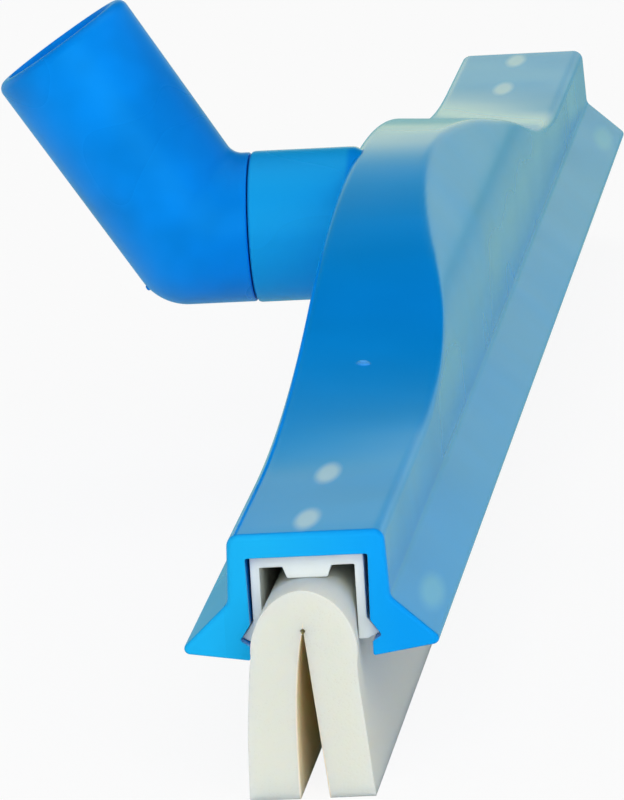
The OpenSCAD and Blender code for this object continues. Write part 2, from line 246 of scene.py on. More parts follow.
class FoamSizes(bpy.types.PropertyGroup):
    """Sizes of the folded foam strip."""

    half_length: length("Half length", "Half of the strip's length", FOAM_HIGH.x / MM)
    top_z: length("Top height", "Height of the fold over the floor, under the cassette's rib", 37.25)
    fold_half: length("Fold half width", "Half of the fold's width in the cassette", 8.4)
    fold_height: length("Fold height", "Height of the fold's round part in the cassette", 8.4)
    fold_fullness: number("Fold fullness", "2 is a round fold, more is a fuller one", 2.4, min=1.5)
    free_rise: length("Free rise", "How much higher the free end of the fold stands", 0.6)
    free_half: length("Free half width", "Half of the fold's width at its free end", 9.6)
    free_height: length("Free height", "Height of the fold's round part at its free end", 11.0)
    free_fullness: number("Free fullness", "The fold's fullness at its free end", 1.88, min=1.5)
    free_length: length("Free length", "Length over which the fold takes its free shape", 12)
    rear_hip: length("Rear hip", "Half width of the rear leaf just under the head", 10.2)
    front_hip: length("Front hip", "Half width of the front leaf just under the head", 9.4)
    rear_belly: length("Rear belly", "Half width of the rear leaf halfway down", 10.95)
    front_belly: length("Front belly", "Half width of the front leaf halfway down", 10.35)
    rear_foot: length("Rear foot", "Half width of the rear leaf at the floor", 11.3)
    front_foot: length("Front foot", "Half width of the front leaf at the floor", 11.35)
    rear_slit: length("Rear slit", "From the middle to the slit's rear wall at the floor", 2.1)
    front_slit: length("Front slit", "From the middle to the slit's front wall at the floor", 3.1)
    slit_z: length("Slit height", "Height of the slit's round end over the floor", 30.4)
    slit_end: length("Slit end", "Radius of the slit's round end", 0.5)
    slit_neck: length("Slit neck", "Half width of the slit under its round end", 0.12)
    slit_bow: number("Slit bow", "How much the slit's rear wall bows out", 3.4, min=1)


class Finishes(bpy.types.PropertyGroup):
    """Colours of the materials."""

    head_blue: colour("Head", "Blue of the moulded head", "#0392F2")
    # Painted light: a lighter blue for light let through the head's thin ends and falling on them, also the
    # sleeve's painted highlight
    end_blue: colour("Head ends", "Lighter blue where the head's ends let light in", "#1CB0F2")
    elbow_blue: colour("Elbow", "Blue of the swivel elbow", "#048CF2")
    mark_white: colour("Pin marks", "Frosted marks left by the mould's pins", "#D2E6FF")
    # Painted reflection on the skirts, and pale patches around the gates
    mark_blue: colour("Pale marks", "Pale marks on the skirt and around the gates", "#8AD4F6")
    cassette_white: colour("Cassette", "White of the extruded cassette", "#F4FAF4")
    foam_white: colour("Foam", "Cream white of the foam strip", "#DEE1D7")
    foam_shade: colour("Foam pores", "Shade of the foam's open pores", "#C9C3B2")
    # A warm tan tint on the walls of the foam's slit
    slit_tan: colour("Foam skin", "Tan skin inside the foam's fold", "#FFEFD2")
    # Painted shade: the ring is dark blue like the blue plastic in shade in the seam's gap
    ring_blue: colour("Ring", "Dark blue of the friction ring", "#0B2A55")
    clip_white: colour("Clip", "White of the retaining clip", "#ECEFEC")
    floor_white: colour("Floor", "Pale studio floor", "#F2F3F3")
    floor_sheen: colour("Floor in gloss", "What the plastic's gloss sees of the floor", "#86CBA8")
    wall_white: colour("Walls", "Pale studio walls", "#FFFFFF")
    screen_low: colour("Screen, low", "Far wall near the floor, where it is bright", "#EBFAC6")
    screen_high: colour("Screen, high", "Far wall where it fades into the dark", "#00FFF6")


class StageSizes(bpy.types.PropertyGroup):
    """Camera, floor and lights."""

    camera_x: length("Camera X", "Place of the camera", -2092.43)
    camera_y: length("Camera Y", "Place of the camera", -175.37)
    camera_z: length("Camera Z", "Place of the camera", 383.47)
    yaw: angle("Yaw", "Turn of the view from the blade's line", 5.4974)
    pitch: angle("Pitch", "Tilt of the view down to the floor", 9.8734)
    roll: angle("Roll", "Lean of the camera", 3.5549)
    lens: number("Lens", "Focal length in millimetres on a 36 mm sensor", 460.84)
    floor_size: length("Floor size", "Side of the floor", 12000)
    aim_z: length("Aim height", "Height that the lamps are turned to", 40)
    sky: number("Sky", "Strength of the dim ceiling", 0.02)
    horizon: number("Horizon", "Strength of the white walls", 1.1)
    key: number("Key light", "Power of the light beside the camera", 23.4, unit="POWER")
    fill: number("Fill light", "Power of the light before the front", 3.0, unit="POWER")
    side: number("Side light", "Power of the low light on the neck's side", 5.0, unit="POWER")
    back: number("Back light", "Power of the light at the far end", 16.0, unit="POWER")
    top: number("Top light", "Power of the light overhead", 18.0, unit="POWER")


class SqueegeeSettings(bpy.types.PropertyGroup):
    """Everything about the squeegee that can be changed."""

    head: PointerProperty(type=HeadSizes)
    hump: PointerProperty(type=HumpSizes)
    neck: PointerProperty(type=NeckSizes)
    cassette: PointerProperty(type=CassetteSizes)
    foam: PointerProperty(type=FoamSizes)
    finish: PointerProperty(type=Finishes)
    stage: PointerProperty(type=StageSizes)


def settings():
    """The squeegee's properties on the scene."""
    return bpy.context.scene.squeegee


# Outlines and meshes


def spread(start, end, steps):
    """Values from start to end in even steps."""
    return [start + (end - start) * i / steps for i in range(steps + 1)]


def spread_both_ways(inner, end, inner_steps, end_steps):
    """Values from -end to end, in other steps outside inner than inside it."""
    outer = spread(inner, end, end_steps)[1:]
    return [-x for x in reversed(outer)] + spread(-inner, inner, inner_steps) + outer


def arc(cy, cz, radius, start, end, steps):
    """Points of an arc around (cy, cz) between two angles."""
    return [(cy + radius * cos(a), cz + radius * sin(a)) for a in spread(start, end, steps)]


def rounded(corners, steps=4, closed=True):
    """The outline of corners (y, z, radius), each turned into an arc."""
    outline, count = [], len(corners)
    for i, (y, z, radius) in enumerate(corners):
        here = Vector((y, z))
        if radius <= 0 or (not closed and i in (0, count - 1)):
            outline.append((y, z))
            continue
        before = Vector(corners[i - 1][:2]) - here
        after = Vector(corners[(i + 1) % count][:2]) - here
        half = before.angle(after) / 2
        # An arc takes at most 0.48 of each side, so that two arcs never meet
        cut = min(radius / tan(half), 0.48 * before.length, 0.48 * after.length)
        before.normalize()
        after.normalize()
        centre = here + (before + after).normalized() * (cut / cos(half))
        start, end = here + before * cut - centre, here + after * cut - centre
        turn = atan2(start.x * end.y - start.y * end.x, start.dot(end))
        for a in spread(0, turn, steps):
            c, s = cos(a), sin(a)
            outline.append((centre.x + start.x * c - start.y * s, centre.y + start.x * s + start.y * c))
    return outline


def mirrored(outline):
    """The outline on the other side of the middle, in the other order."""
    return [(-y, z) for y, z in reversed(outline)]


def inward(outline):
    """Unit directions that point into a closed outline at each of its points."""
    points = np.array(outline)
    ahead, behind = np.roll(points, -1, 0), np.roll(points, 1, 0)
    area = np.sum(points[:, 0] * ahead[:, 1] - ahead[:, 0] * points[:, 1])
    along = ahead - behind
    along /= np.linalg.norm(along, axis=1)[:, None]
    return np.stack([-along[:, 1], along[:, 0]], 1) * np.sign(area)


def stations_with_ends(outline_at, xs, end_radii, support, steps=5):
    """Rings of an outline along X, whose two ends are rounded by a radius of each point.
    A last ring, support further in, keeps the end face flat."""
    rings = [[(x, y, z) for y, z in outline_at(x)] for x in xs]
    radii = np.array(end_radii)
    rounding = [(radii * sin(a), radii * (1 - cos(a))) for a in spread(0, pi / 2, steps)[1:]]
    rounding.append((radii, radii + support))
    for end, x_end in ((-1, xs[0]), (1, xs[-1])):
        points = np.array(outline_at(x_end))
        inside = inward(points)
        shrunk = []
        for out, depth in rounding:
            # Every ring of the rounding ends in one plane
            place = x_end + end * out + end * (radii.max() - radii)
            ring = np.column_stack([place, points + inside * depth[:, None]])
            shrunk.append([tuple(point) for point in ring])
        rings = shrunk[::-1] + rings if end < 0 else rings + shrunk
    return rings


def loft(rings):
    """Points and faces of a closed skin over rings of equally many points."""
    count, last = len(rings[0]), len(rings) - 1
    points = [p for ring in rings for p in ring]
    faces = []
    for a in range(0, last * count, count):
        for k in range(count):
            n = (k + 1) % count
            faces.append((a + k, a + n, a + count + n, a + count + k))
    faces.append(tuple(range(count - 1, -1, -1)))
    faces.append(tuple(range(last * count, (last + 1) * count)))
    return points, faces


def make_object(name, points, faces, material=None):
    """A mesh object in the scene, with its faces pointing outwards."""
    mesh = bpy.data.meshes.new(name)
    mesh.from_pydata(points, [], faces)
    mesh.validate()
    tidy = bmesh.new()
    tidy.from_mesh(mesh)
    bmesh.ops.remove_doubles(tidy, verts=tidy.verts, dist=1e-7)
    bmesh.ops.recalc_face_normals(tidy, faces=tidy.faces)
    bmesh.ops.triangulate(tidy, faces=[f for f in tidy.faces if len(f.verts) > 4])
    tidy.to_mesh(mesh)
    tidy.free()
    if material:
        mesh.materials.append(material)
    obj = bpy.data.objects.new(name, mesh)
    bpy.context.scene.collection.objects.link(obj)
    return obj


def turned(profile, steps, place):
    """Points and faces of a profile of (along, radius) turned about an axis.
    place maps (across, up, along) to a point."""
    turns = spread(0, 2 * pi, steps)[:-1]
    return loft([[place(r * sin(a), r * cos(a), along) for a in turns] for along, r in profile])


def cut_or_join(obj, other, operation):
    """Adds or takes away another closed solid, and deletes it."""
    modifier = obj.modifiers.new(operation.title(), "BOOLEAN")
    modifier.operation = operation
    modifier.solver = "MANIFOLD"
    modifier.object = other
    settle(obj)
    mesh = other.data
    bpy.data.objects.remove(other)
    bpy.data.meshes.remove(mesh)


def settle(obj):
    """Turns what the modifiers make into the object's own mesh and removes them."""
    graph = bpy.context.evaluated_depsgraph_get()
    graph.update()
    result = bpy.data.meshes.new_from_object(
        obj.evaluated_get(graph), preserve_all_data_layers=True, depsgraph=graph
    )
    old = obj.data
    obj.modifiers.clear()
    obj.data = result
    result.name = obj.name
    bpy.data.meshes.remove(old)


def smooth(obj, degrees=32):
    """Smooth shading that keeps edges sharper than an angle, and flat faces flat."""
    obj.data.polygons.foreach_set("use_smooth", [True] * len(obj.data.polygons))
    obj.data.set_sharp_from_angle(angle=radians(degrees))
    weighted = obj.modifiers.new("Flat faces stay flat", "WEIGHTED_NORMAL")
    weighted.keep_sharp = True
    settle(obj)


def hand_over(obj, body, slot, *nodes):
    """Says which body the piece rides on and the CAD nodes it stands for; slot is not used."""
    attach(obj, body)
    if nodes:
        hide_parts(*nodes)


# Node trees and materials


def add_node(tree, kind, inputs=None, **options):
    """Adds a node; kind is its type, with ShaderNode left off its front. inputs gives each
    socket a value, the output that feeds it, or a node whose first output in use feeds it."""
    made = tree.nodes.new(kind if "Node" in kind else "ShaderNode" + kind)
    for key, value in options.items():
        setattr(made, key, value)
    for socket, value in (inputs or {}).items():
        if isinstance(value, bpy.types.Node):
            value = next(output for output in value.outputs if output.enabled)
        if isinstance(value, bpy.types.NodeSocket):
            tree.links.new(value, made.inputs[socket])
        else:
            made.inputs[socket].default_value = value
    return made


def new_material(name):
    """An empty node material, with what adds its nodes and the place in Object coordinates."""
    material = bpy.data.materials.new(name)
    material.use_nodes = True
    material.node_tree.nodes.clear()
    add = partial(add_node, material.node_tree)
    return material, add, add("TexCoord").outputs["Object"]


def per_metre(mm):
    """The scale of a noise whose grains are that many millimetres wide."""
    return 1000.0 / mm


def patches(add, place, mm, low, high, detail=1.0, span=(0.3, 0.7), blend="LINEAR"):
    """A value that wanders from low to high in patches of so many millimetres.
    span is the part of the noise over which it rises."""
    noise = add("TexNoise", {"Vector": place, "Scale": per_metre(mm), "Detail": detail})
    ends = {"From Min": span[0], "From Max": span[1], "To Min": low, "To Max": high}
    return add("MapRange", {"Value": noise, **ends}, interpolation_type=blend)


def moulded_polypropylene(name, tint, roughness, cloud_mm=40, depth=0.055, head=False):
    """Injection-moulded polypropylene: a dense, evenly dyed plastic from a polished mould.
    The eye sees a deep colour when looking straight at it and a pale sheen along it,
    broken by slight sink where the walls are thick, and paler and deeper clouds, cloud_mm
    across and up to depth of the tint, where the melt met. The head also has painted light:
    a lighter blue on its end faces for light let through and falling on them, with painted
    shading across them, and a painted highlight on its sleeve; it also has a duller sleeve, a painted
    reflection on the skirts, pale patches around the gates and frosted marks from the mould's pins."""
    material, add, place = new_material(name)
    shade = patches(add, place, cloud_mm, 1 - depth, 1 + depth, 2.0, (0.25, 0.75), "SMOOTHSTEP")
    base = add("HueSaturation", {"Value": shade, "Color": tint})
    # Gloss differs a little where the melt cooled against the mould, in patches of 35 mm
    dull = patches(add, place, 35, roughness - 0.02, roughness + 0.03, blend="SMOOTHSTEP")
    if head:
        # Painted light on the end faces and a painted highlight on the sleeve, then the marks
        layers = [(ends_mask(add, place), settings().finish.end_blue)]
        # A painted reflection on the skirts, pale patches around the gates and frosted pin marks
        layers += [(marks_mask(add, place, marks), mark) for mark, marks in mould_marks()]
        for share, other in layers:
            base = add("Mix", {"Factor": share, "A": base, "B": other}, data_type="RGBA")
        duller = {0: sleeve_mask(add, place), 1: SLEEVE_DULLER, 2: dull}
        dull = add("Math", duller, operation="MULTIPLY_ADD")
    # Sink of the walls: waves some 25 mm long
    sink = add("TexNoise", {"Vector": place, "Scale": per_metre(25), "Detail": 1.0})
    waves = add("Bump", {"Height": sink, "Strength": 1.0, "Distance": 0.005 * MM})
    skin = add(
        "BsdfPrincipled",
        {"Base Color": base, "Roughness": dull, "IOR": 1.5, "Specular Tint": GLOSS_TINT, "Normal": waves},
    )
    add("OutputMaterial", {"Surface": skin})
    return material


def sleeve_mask(add, place):
    """A value of 1 on the sleeve behind the head."""
    axes = add("SeparateXYZ", {"Vector": place})
    back = settings().head.top_width / 2
    rise = {"From Min": back + 0.2 * MM, "From Max": back + 1.2 * MM}
    return add("MapRange", {"Value": axes.outputs["Y"], **rise})


def ends_mask(add, place):
    """A value that is high where light is painted into the colour: on the end faces, for light that
    the thin walls let through and the front light on them, with painted shading that darkens them
    towards the front, away from the neck, and on the sleeve as a painted highlight."""
    head = settings().head
    axes = add("SeparateXYZ", {"Vector": place}).outputs
    out = add("Math", {0: axes["X"]}, operation="ABSOLUTE")
    rise = {"From Min": head.half_length - 1.2 * MM, "From Max": head.half_length - 0.1 * MM}
    face = add("MapRange", {"Value": out, **rise}, interpolation_type="SMOOTHSTEP")
    # Painted shading: the end faces are darker towards the front, away from the neck
    across = {"From Min": -head.top_width / 2 - 2 * MM, "From Max": head.top_width / 4, "To Min": 0.25}
    side = add("MapRange", {"Value": axes["Y"], **across})
    ends = add("Math", {0: face, 1: side}, operation="MULTIPLY")
    # Painted highlight on the sleeve
    sleeve = {0: sleeve_mask(add, place), 1: SLEEVE_SHARE}
    sleeve = add("Math", sleeve, operation="MULTIPLY")
    return add("Math", {0: ends, 1: sleeve}, operation="MAXIMUM")


def mould_marks():
    """The marks on the head, as pairs of a colour and its marks: a painted reflection on the
    skirts and pale patches around the gates, then the frosted marks of the mould's pins.
    Each mark is a centre, half sizes and a strength."""
    s = settings()
    head = s.head
    top_z = head.under_z + head.channel_height + head.top_wall
    skirt_y = -head.top_width / 2 - SKIRT_OUT * head.skirt_reach
    pale, pins = [], []
    for side in (-1, 1):
        # Painted reflection on the skirt
        skirt = (side * head.skirt_mark, skirt_y, head.under_z + head.skirt_mark_z)
        pale.append((skirt, SKIRT_MARK, SKIRT_SHARE))
        x, y = side * head.gate_place, head.gate_side
        reach = head.gate_radius + GATE_HALO
        pale.append(((x, y, hump_top(head, s.hump, x, y)), (reach, reach, reach), GATE_SHARE))
        for place in (head.outer_mark, head.inner_mark):
            pins.append(((side * place, head.mark_side, top_z), PIN_MARK, PIN_SHARE))
    return (s.finish.mark_blue, pale), (s.finish.mark_white, pins)


def marks_mask(add, place, marks):
    """A value that rises in the soft patches of the given marks."""
    spread, mask = settings().head.mark_spread, 0.0
    for centre, half, strength in marks:
        shift, scale = [-c / h for c, h in zip(centre, half)], [1 / h for h in half]
        centred = add("Mapping", {"Vector": place, "Location": shift, "Scale": scale})
        reach = add("VectorMath", {0: centred}, operation="LENGTH")
        fall = {"From Min": 1 + spread, "From Max": 1 - spread, "To Max": strength}
        patch = add("MapRange", {"Value": reach, **fall}, interpolation_type="SMOOTHSTEP")
        mask = add("Math", {0: mask, 1: patch}, operation="MAXIMUM")
    return mask


def extruded_polypropylene(name, tint):
    """Extruded natural polypropylene: milky white, satin, drawn along its length.
    The eye sees a soft white with faint lines along the profile."""
    material, add, place = new_material(name)
    # Die lines 0.4 mm apart, drawn out along X
    drawn = add("Mapping", {"Vector": place, "Scale": (0.004, 1.0, 1.0)})
    lines = add("TexNoise", {"Vector": drawn, "Scale": per_metre(0.4), "Detail": 2.0})
    bumps = add("Bump", {"Height": lines, "Strength": 0.6, "Distance": 0.02 * MM})
    milk = patches(add, place, 6, 0.96, 1.0, detail=3.0)
    skin = add(
        "BsdfPrincipled",
        {
            "Base Color": add("HueSaturation", {"Value": milk, "Color": tint}),
            "Roughness": 0.42,
            "IOR": 1.5,
            "Subsurface Weight": 0.3,
            "Subsurface Radius": (1.0, 1.0, 0.9),
            "Subsurface Scale": 2 * MM,
            "Normal": bumps,
        },
    )
    add("OutputMaterial", {"Surface": skin})
    return material


def slit_mask(add, place):
    """A value of 1 on the two walls of the foam's slit."""
    foam, play = settings().foam, settings().cassette.side_play
    axes = add("SeparateXYZ", {"Vector": place}).outputs
    y = add("Math", {0: axes["Y"], 1: play}, operation="SUBTRACT")
    up = add("Math", {0: axes["Z"], 1: foam.slit_z}, operation="DIVIDE")
    bowed = add("Math", {0: up, 1: foam.slit_bow}, operation="POWER")
    mask = 1.0
    for share, reach, way in ((bowed, foam.rear_slit, 1.0), (up, foam.front_slit, -1.0)):
        # How far a place is inside the rear wall, or the front wall
        wall = add("Math", {0: share, 1: -reach, 2: reach}, operation="MULTIPLY_ADD")
        inside = add("Math", {0: y, 1: -way, 2: wall}, operation="MULTIPLY_ADD")
        rise = {"Value": inside, "From Min": -0.35 * MM, "From Max": -0.15 * MM}
        mask = add("Math", {0: mask, 1: add("MapRange", rise)}, operation="MULTIPLY")
    return mask


def cellular_rubber(name, tint, pore, inside):
    """Closed-cell natural rubber foam, cut from a sheet: dull, cream white and finely pitted.
    The eye sees a matt surface with a tight speckle of cut cells, in clouds, and a warm tan
    tint on the walls of the slit inside the fold."""
    material, add, place = new_material(name)
    # Cells 0.5 mm across, drawn a little coarser than the real 0.3 mm so that they show
    cells = add("TexVoronoi", {"Vector": place, "Scale": per_metre(0.5), "Randomness": 1.0})
    cut = add("MapRange", {"Value": cells, "From Min": 0.30, "From Max": 0.12})
    # Clouds 9 mm across, where the cells are denser
    dense = patches(add, place, 9, 0.05, 0.3, detail=4.0, span=(0.35, 0.7))
    pitted = add("Math", {0: cut, 1: dense}, operation="MULTIPLY")
    blend = add("Mix", {"Factor": pitted, "A": tint, "B": pore}, data_type="RGBA")
    skinned = {"Factor": slit_mask(add, place), "A": blend, "B": inside}
    skin = add(
        "BsdfPrincipled",
        {
            "Base Color": add("Mix", skinned, data_type="RGBA"),
            "Roughness": 0.85,
            "IOR": 1.5,
            "Subsurface Weight": 0.8,
            "Subsurface Radius": (1.0, 0.8, 0.6),
            "Subsurface Scale": 8 * MM,
            "Normal": add("Bump", {"Height": cells, "Strength": 0.5, "Distance": 0.025 * MM}),
        },
    )
    add("OutputMaterial", {"Surface": skin})
    return material


def moulded_rubber(name, tint):
    """Solid nitrile rubber, moulded: satin, with a faint bloom, in a dark blue that is painted shade
    for the seam's gap around the ring. The eye sees a dark ring with a broad soft highlight."""
    material, add, place = new_material(name)
    # Bloom in spots 1.5 mm across
    bloom = patches(add, place, 1.5, 0.45, 0.62, detail=3.0)
    skin = add("BsdfPrincipled", {"Base Color": tint, "Roughness": bloom, "IOR": 1.52})
    add("OutputMaterial", {"Surface": skin})
    return material


def grow(obj, name, own_nodes, material, **sizes):
    """Runs new geometry nodes on an object and keeps what they make as a plain mesh. The tree
    has an input for the object's mesh and one for each size, and own_nodes adds its nodes."""
    tree = bpy.data.node_groups.new(name, "GeometryNodeTree")
    kinds = {int: "NodeSocketInt", float: "NodeSocketFloat", tuple: "NodeSocketVector"}
    for way in ("INPUT", "OUTPUT"):
        tree.interface.new_socket("Geometry", in_out=way, socket_type="NodeSocketGeometry")
    sockets = {}
    for label, size in sizes.items():
        made = tree.interface.new_socket(label, in_out="INPUT", socket_type=kinds[type(size)])
        sockets[made.identifier] = size
    add = partial(add_node, tree)
    made = own_nodes(tree, add, add("NodeGroupInput").outputs)
    real = add("GeometryNodeRealizeInstances", {"Geometry": made})
    coloured = add("GeometryNodeSetMaterial", {"Geometry": real, "Material": material})
    add("NodeGroupOutput", {"Geometry": coloured})
    modifier = obj.modifiers.new(name, "NODES")
    modifier.node_group = tree
    for identifier, size in sockets.items():
        modifier[identifier] = size
    settle(obj)


# The head


def bell(hump, x, half, turn):
    """Height of a bell of two arcs over the flat top, x away from the middle."""
    fall, d = 2 * hump.height / half, abs(x)
    if d <= turn:
        return hump.height - fall * d * d / (2 * turn)
    return fall * (half - d) ** 2 / (2 * (half - turn)) if d < half else 0.0


def soft_min(a, b, k):
    """The lower of two heights, with a soft change-over of width k."""
    return min(a, b) - max(k - abs(a - b), 0) ** 2 / (4 * k)


def edge_drop(head, d):
    """Drop of the rounded edge, at a distance d in from the front or back plane."""
    r = head.edge_radius
    return 0.0 if d >= r else r - sqrt(r * r - (r - max(d, 0)) ** 2)


def hump_top(head, hump, x, y, wall=0.0):
    """Height of the hump over (x, y), or of the hollow in it for a wall."""
    top_z = head.under_z + head.channel_height + head.top_wall
    edge = head.top_width / 2
    share = (edge - y) / head.top_width
    back = bell(hump, x, hump.back_half, hump.back_turn)
    front = bell(hump, x, hump.front_half, hump.front_turn)
    roof = top_z + (1 - share) * back + share * front - wall
    radius, lean = hump.front_radius - wall, pi / 2 - hump.front_angle
    turn_y = hump.front_radius - edge - radius * cos(lean)
    if y <= turn_y:
        face = top_z + sqrt(max(0, radius**2 - (edge - hump.front_radius + y) ** 2))
    else:
        face = top_z + radius * sin(lean) + (y - turn_y) * tan(hump.front_angle)
    return soft_min(roof, face, hump.ridge) - edge_drop(head, edge - wall - abs(y))


def top_places(head, hump, wall=0.0):
    """Places across the top from front to back, closer where it curves."""
    front_steps, slope_steps, back_steps = 18, 26, 8
    edge, radius = head.top_width / 2 - wall, hump.front_radius - wall
    lean, back = pi / 2 - hump.front_angle, edge - head.edge_radius
    front = [-edge + radius * (1 - cos(a)) for a in spread(0, lean, front_steps)]
    slope = spread(front[-1], back, slope_steps)[1:-1]
    turns = spread(0, pi / 2, back_steps)
    return front + slope + [edge - head.edge_radius * (1 - sin(a)) for a in turns]


class HeadShape:
    """The head's outline at any place along it."""

    def __init__(self, head, hump):
        self.head, self.hump = head, hump
        root = head.top_width / 2 + head.wall_splay
        inner, under_z = head.channel_width / 2, head.under_z
        roof_z, barb_z = under_z + head.channel_height, under_z + head.groove_height
        self.top_z = roof_z + head.top_wall
        corner = head.channel_corner
        # The first and last corner only give the direction of the sides next to them
        corners = [
            (0, roof_z, 0),
            (inner, roof_z, corner),
            (inner - head.wall_taper, barb_z + head.groove_rise, corner),
            (inner + head.groove_depth, barb_z, corner),
            (inner, barb_z - head.groove_fall, corner),
            (inner, under_z, corner),
            (root + head.skirt_reach, under_z + head.skirt_tip, 0),
        ]
        channel = rounded(corners, closed=False)[1:-1]
        # The tip and the corner over the skirt touch the flank between them
        tip_r, root_r = head.skirt_tip_radius, head.skirt_root_radius
        tip_y, tip_z = root + head.skirt_reach - tip_r, under_z + head.skirt_tip + tip_r
        corner_y, corner_z = root + root_r, under_z + head.skirt_root
        apart = hypot(corner_y - tip_y, corner_z - tip_z)
        flank_turn = atan2(corner_z - tip_z, corner_y - tip_y) - acos((tip_r + root_r) / apart)
        below = hypot(inner - tip_y, under_z - tip_z)
        lower_turn = atan2(under_z - tip_z, inner - tip_y) + acos(tip_r / below)
        tip = arc(tip_y, tip_z, tip_r, lower_turn, flank_turn, 10)
        over_skirt = arc(corner_y, corner_z, root_r, pi + flank_turn, pi, 7)
        # Short steps along the flanks keep the end's rounding even
        start, end = Vector(tip[-1]), Vector(over_skirt[0])
        flank = [tuple(start.lerp(end, t)) for t in (0.25, 0.5, 0.75)]
        self.side = channel + tip + flank + over_skirt
        self.places = list(reversed(top_places(head, hump)))

    def outline(self, x):
        """Points (y, z) around the head at x."""
        edge, top = self.head.top_width / 2, []
        for y in self.places:
            flat = self.top_z - edge_drop(self.head, edge - abs(y))
            top.append((y, max(flat, hump_top(self.head, self.hump, x, y))))
        return self.side + top + mirrored(self.side)

    def end_radii(self):
        """Radius of the end's rounding at each point of the outline."""
        head, radii = self.head, []
        root = head.top_width / 2 + head.wall_splay
        channel_y = head.channel_width / 2 + head.groove_depth + 0.1 * MM
        channel_z = head.under_z + head.channel_height + MM
        for y, z in self.outline(head.half_length):
            if z < channel_z and abs(y) < channel_y:
                radii.append(head.channel_end_radius)
            else:
                # Smaller towards the skirts' tips
                out = min(1, max(0, abs(y) - root) / (head.skirt_reach * 0.6))
                radii.append(head.end_radius + (head.tip_end_radius - head.end_radius) * out)
        soft = np.array(radii)
        for _ in range(3):
            soft = np.minimum(radii, (np.roll(soft, 1) + soft + np.roll(soft, -1)) / 3)
        return soft


class SQUEEGEE_OT_head(bpy.types.Operator):
    """Moulded head with its channel, skirts, hollow hump and sleeve"""

    bl_idname = "squeegee.head"
    bl_label = "Moulded head"

    def execute(self, context):
        s = settings()
        head, hump, neck = s.head, s.hump, s.neck
        shape = HeadShape(head, hump)
        # Closer together over the hump
        end = head.half_length - head.end_radius
        places = spread_both_ways(hump.back_half + 3 * MM, end, 150, 6)
        rings = stations_with_ends(shape.outline, places, shape.end_radii(), support=0.12 * MM)
        blue = moulded_polypropylene("moulded blue polypropylene", s.finish.head_blue, 0.15, head=True)
        shell = make_object("head_shell", *loft(rings), blue)
        edge = head.top_width / 2
        seam, inner = edge + neck.sleeve_length, edge - hump.wall
        # The sleeve leaves the roof a little slimmer and reaches its full radius at the back
        root, dip, chamfer = neck.sleeve_root, neck.sleeve_dip, neck.sleeve_chamfer
        sleeve = [
            (edge - root, neck.sleeve_radius - dip),
            (edge - 0.3 * root, neck.sleeve_radius - 0.15 * dip),
            (edge, neck.sleeve_radius),
            (seam - chamfer, neck.sleeve_radius),
            (seam - 0.4 * chamfer, neck.sleeve_radius - 0.2 * chamfer),
            (seam, neck.sleeve_radius - 0.8 * chamfer),
        ]

        def along_y(across, up, along):
            return (across, along, neck.axis_z + up)

        cut_or_join(shell, make_object("sleeve", *turned(sleeve, 128, along_y)), "UNION")
        cut_or_join(shell, hollow_solid(head, hump), "DIFFERENCE")
        over = 1 * MM
        bore = [(inner - over, neck.sleeve_bore), (seam + over, neck.sleeve_bore)]
        room = [(neck.spigot_end - neck.clip_play, neck.clip_room), (inner, neck.clip_room)]
        for profile in (bore, room):
            cut_or_join(shell, make_object("cut", *turned(profile, 96, along_y)), "DIFFERENCE")
        for side in (-1, 1):
            cut_or_join(shell, gate_ring(head, hump, side), "UNION")
        smooth(shell)
        hand_over(shell, "head", "blue_polypropylene", "squeegee_body")
        return {"FINISHED"}


def gate_ring(head, hump, side):
    """The fine raised ring that a mould gate leaves on the hump's slope."""
    x, y, step = side * head.gate_place, head.gate_side, 0.5 * MM
    z = hump_top(head, hump, x, y)
    slope_x = (hump_top(head, hump, x + step, y) - z) / step
    slope_y = (hump_top(head, hump, x, y + step) - z) / step
    turn = Vector((-slope_x, -slope_y, 1)).normalized().to_track_quat("Z", "Y").to_matrix()
    points, faces, count, sides = [], [], 32, 8
    for i in range(count):
        a = 2 * pi * i / count
        here, ahead = i * sides, (i + 1) % count * sides
        for k, n in enumerate([*range(1, sides), 0]):
            b = 2 * pi * k / sides
            reach = head.gate_radius + head.gate_tube * cos(b)
            spot = Vector((reach * cos(a), reach * sin(a), head.gate_tube * sin(b)))
            points.append(Vector((x, y, z)) + turn @ spot)
            faces.append((here + k, ahead + k, ahead + n, here + n))
    return make_object("gate_ring", points, faces)


def hollow_solid(head, hump, name="hollow"):
    """The space inside the hump, open to the channel."""
    low_z, thin = head.under_z + head.channel_height - 1 * MM, 0.01 * MM
    places, rings = top_places(head, hump, hump.wall), []
    for x in spread(-hump.hollow_half, hump.hollow_half, 48):
        top = [(x, y, max(low_z + thin, hump_top(head, hump, x, y, hump.wall))) for y in places]
        rings.append([(x, places[0], low_z)] + top + [(x, places[-1], low_z)])
    return make_object(name, *loft(rings))


